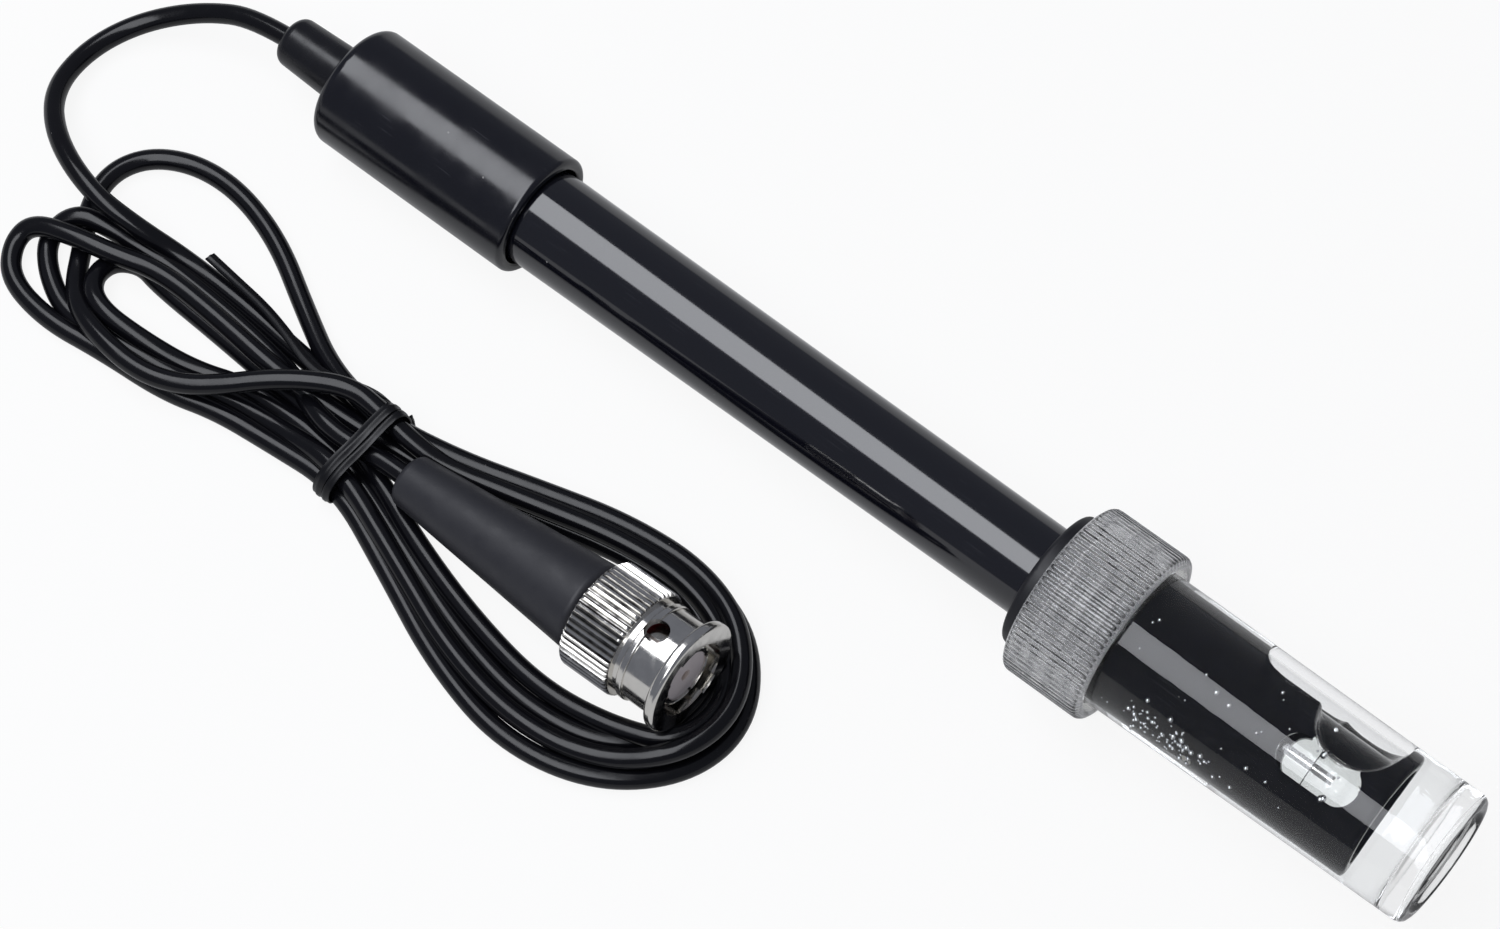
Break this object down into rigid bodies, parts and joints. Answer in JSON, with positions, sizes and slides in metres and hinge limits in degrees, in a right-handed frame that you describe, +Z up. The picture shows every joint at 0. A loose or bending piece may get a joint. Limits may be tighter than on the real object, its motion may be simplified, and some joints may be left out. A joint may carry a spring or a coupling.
{
  "type": "ph electrode",
  "caption": "Slim pH electrode with a capped handle, tapered shaft and guarded glass tip in a clear screw-on soaking bottle, on a tied cable with a bayonet plug.",
  "frame": {"origin": "on the bench under the middle of the electrode, gland end to bottle end, cable left out", "axes": "+X along the electrode towards its tip, +Z up from the bench"},
  "size_m": [0.1978, 0.0648, 0.0229],
  "materials": {
    "black_gloss": "polished black moulding",
    "black_rubber": "smooth black rubber",
    "grey_rubber": "grey rubber",
    "cable_jacket": "soft black cable jacket",
    "tie_plastic": "black plastic-covered wire",
    "clear_plastic": "clear moulded plastic",
    "blown_glass": "thin blown glass",
    "white_ceramic": "porous white ceramic",
    "white_plastic": "white insulating plastic",
    "silver_wire": "drawn silver wire",
    "nickel": "bright nickel plate",
    "spring_steel": "bright spring steel",
    "gilt_brass": "gilt pin",
    "red_silicone": "red silicone"
  },
  "bodies": {
    "electrode": {"handle_cap": "black_gloss", "cable_gland": "black_rubber", "shaft_tube": "black_gloss", "junction_frit": "white_ceramic", "glass_stem": "blown_glass", "top_bung": "grey_rubber", "stem_seal": "grey_rubber", "measuring_wire": "silver_wire", "reference_wire": "silver_wire", "core_lead": "white_plastic", "plug_boot": "black_rubber", "plug_ferrule": "nickel", "plug_body": "nickel", "plug_gasket": "red_silicone", "plug_insulator": "white_plastic", "plug_pin": "gilt_brass", "retaining_ring": "spring_steel", "spring_washer": "spring_steel", "cable_lead": "cable_jacket", "cable_slack_loop": "cable_jacket", "cable_tail": "cable_jacket", "cable_hank": "cable_jacket", "twist_tie": "tie_plastic"},
    "bottle": {"soak_bottle": "clear_plastic"},
    "bush": {"cap_seal": "black_rubber"},
    "cap": {"screw_cap": "clear_plastic"},
    "sleeve": {"coupling_sleeve": "nickel"}
  },
  "joints": [
    {"name": "bottle_slide", "type": "slide", "parent": "electrode", "child": "bottle", "axis": [0.9996, 0, 0.03], "range_m": [0, 0.06]},
    {"name": "seal_lift", "type": "slide", "parent": "bottle", "child": "bush", "axis": [-0.9996, 0, -0.03], "range_m": [0, 0.0075]},
    {"name": "cap_turn", "type": "hinge", "parent": "bush", "child": "cap", "pos_m": [0.03798, 0, 0.01144], "axis": [-0.9996, 0, -0.03], "range_deg": [0, 1080]},
    {"name": "sleeve_turn", "type": "hinge", "parent": "electrode", "child": "sleeve", "pos_m": [0.0066, -0.0353, 0.0098], "axis": [0.9945, 0, 0.1045], "continuous": true}
  ],
  "couplings": [
    {"joint": "seal_lift", "follows": "cap_turn", "m_per_rad": 0.00039789}
  ]
}
